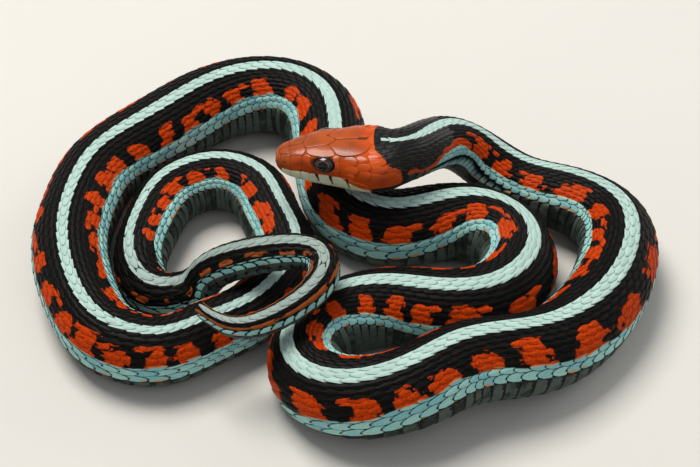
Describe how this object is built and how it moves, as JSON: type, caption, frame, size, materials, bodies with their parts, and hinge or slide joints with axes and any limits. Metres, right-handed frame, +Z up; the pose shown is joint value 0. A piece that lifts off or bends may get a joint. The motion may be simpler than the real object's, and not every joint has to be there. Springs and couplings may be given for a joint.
{
  "type": "garter snake",
  "caption": "Coiled garter snake at rest, head laid over its own back, with round eyes, a closed mouth and a thin tapering tail.",
  "frame": {"origin": "on the floor under the middle of the coil's bounding box", "axes": "+X to the coil's right, away from the snout; +Y to the coil's back; +Z up from the floor"},
  "size_m": [0.122, 0.1, 0.0261],
  "materials": {
    "head_skin": "satin orange-red plates",
    "jaw_skin": "satin pale scales",
    "eye": "wet gloss",
    "body_skin": "satin keeled scales, striped and blotched",
    "tail_skin": "satin keeled scales"
  },
  "bodies": {
    "root": {"head": "head_skin", "lower_jaw": "jaw_skin", "eye_left": "eye", "eye_right": "eye", "neck": "body_skin", "body_1": "body_skin", "body_2": "body_skin", "body_3": "body_skin", "body_4": "body_skin", "body_5": "body_skin", "body_6": "body_skin", "body_7": "body_skin", "body_8": "body_skin", "body_9": "body_skin", "body_10": "body_skin", "tail_1": "tail_skin", "tail_2": "tail_skin", "tail_3": "tail_skin", "tail_4": "tail_skin", "tail_5": "tail_skin", "tail_6": "tail_skin"}
  },
  "joints": []
}
